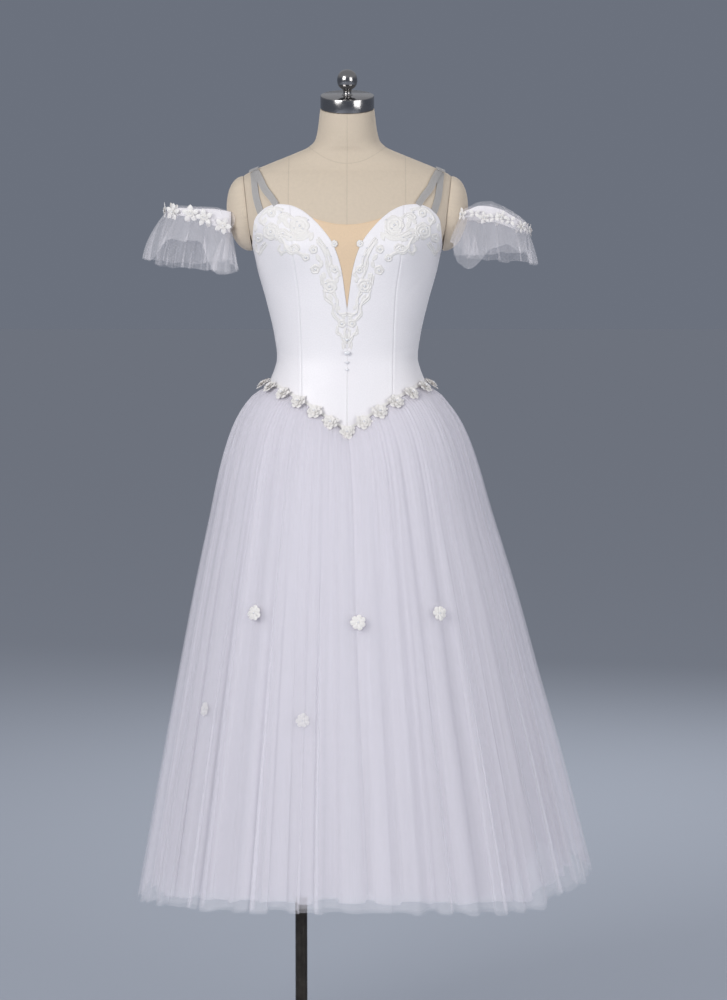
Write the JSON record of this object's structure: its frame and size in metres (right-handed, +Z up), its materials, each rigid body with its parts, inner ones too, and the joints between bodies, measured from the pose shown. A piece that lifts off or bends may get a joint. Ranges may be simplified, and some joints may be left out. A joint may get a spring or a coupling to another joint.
{
  "type": "romantic tutu dress on a limbless dress form",
  "caption": "Romantic tutu dress with a pointed bodice, a gathered ankle-length tulle skirt and loose tulle armlets, on a limbless canvas dress form with a round stand.",
  "frame": {"origin": "centre of the round base's underside, on the floor, under the form's middle", "axes": "+Z up, -Y towards the front of the dress, +X towards the viewer's right when facing the front"},
  "size_m": [0.7574, 0.6556, 1.6737],
  "materials": {
    "bodice_satin": "soft satin stretch cloth",
    "plunge_mesh": "tan stretch mesh",
    "lace": "corded ivory lace",
    "tulle": "sheer soft tulle",
    "strap_elastic": "clear elastic",
    "bead": "pearl",
    "form_canvas": "plain canvas",
    "neck_steel": "polished steel",
    "stand_metal": "dark bronze"
  },
  "bodies": {
    "root": {"form_torso": "form_canvas", "form_shoulder_cap_left": "form_canvas", "form_shoulder_cap_right": "form_canvas", "form_neck_plate": "neck_steel", "form_neck_knob": "neck_steel", "stand_base": "stand_metal", "stand_pole": "stand_metal", "stand_foot_collar": "stand_metal", "stand_top_socket": "stand_metal", "bodice_centre_front_left": "bodice_satin", "bodice_centre_front_right": "bodice_satin", "bodice_side_front_left": "bodice_satin", "bodice_side_front_right": "bodice_satin", "bodice_centre_back_left": "bodice_satin", "bodice_centre_back_right": "bodice_satin", "bodice_side_back_left": "bodice_satin", "bodice_side_back_right": "bodice_satin", "bodice_plunge_mesh": "plunge_mesh", "bodice_lace_left": "lace", "bodice_lace_right": "lace", "front_bead_top": "bead", "front_bead_large": "bead", "front_bead_third": "bead", "front_bead_foot": "bead", "skirt_tulle_outer": "tulle", "skirt_tulle_middle": "tulle", "skirt_tulle_under": "tulle", "waist_flower_braid": "lace", "skirt_flower_front_left": "lace", "skirt_flower_front_middle": "lace", "skirt_flower_front_right": "lace", "skirt_flower_low_left": "lace", "skirt_flower_low_middle": "lace", "skirt_flower_back_left": "lace", "skirt_flower_back_middle": "lace", "skirt_flower_back_right": "lace", "skirt_flower_back_low_left": "lace", "skirt_flower_back_low_right": "lace", "strap_front_outer_left": "strap_elastic", "strap_front_inner_left": "strap_elastic", "strap_back_left": "strap_elastic", "strap_front_outer_right": "strap_elastic", "strap_front_inner_right": "strap_elastic", "strap_back_right": "strap_elastic", "armlet_band_left": "bodice_satin", "armlet_frill_under_left": "tulle", "armlet_frill_top_left": "tulle", "armlet_lace_left": "lace", "form_arm_peg_left": "neck_steel", "armlet_band_right": "bodice_satin", "armlet_frill_under_right": "tulle", "armlet_frill_top_right": "tulle", "armlet_lace_right": "lace", "form_arm_peg_right": "neck_steel"}
  },
  "joints": []
}
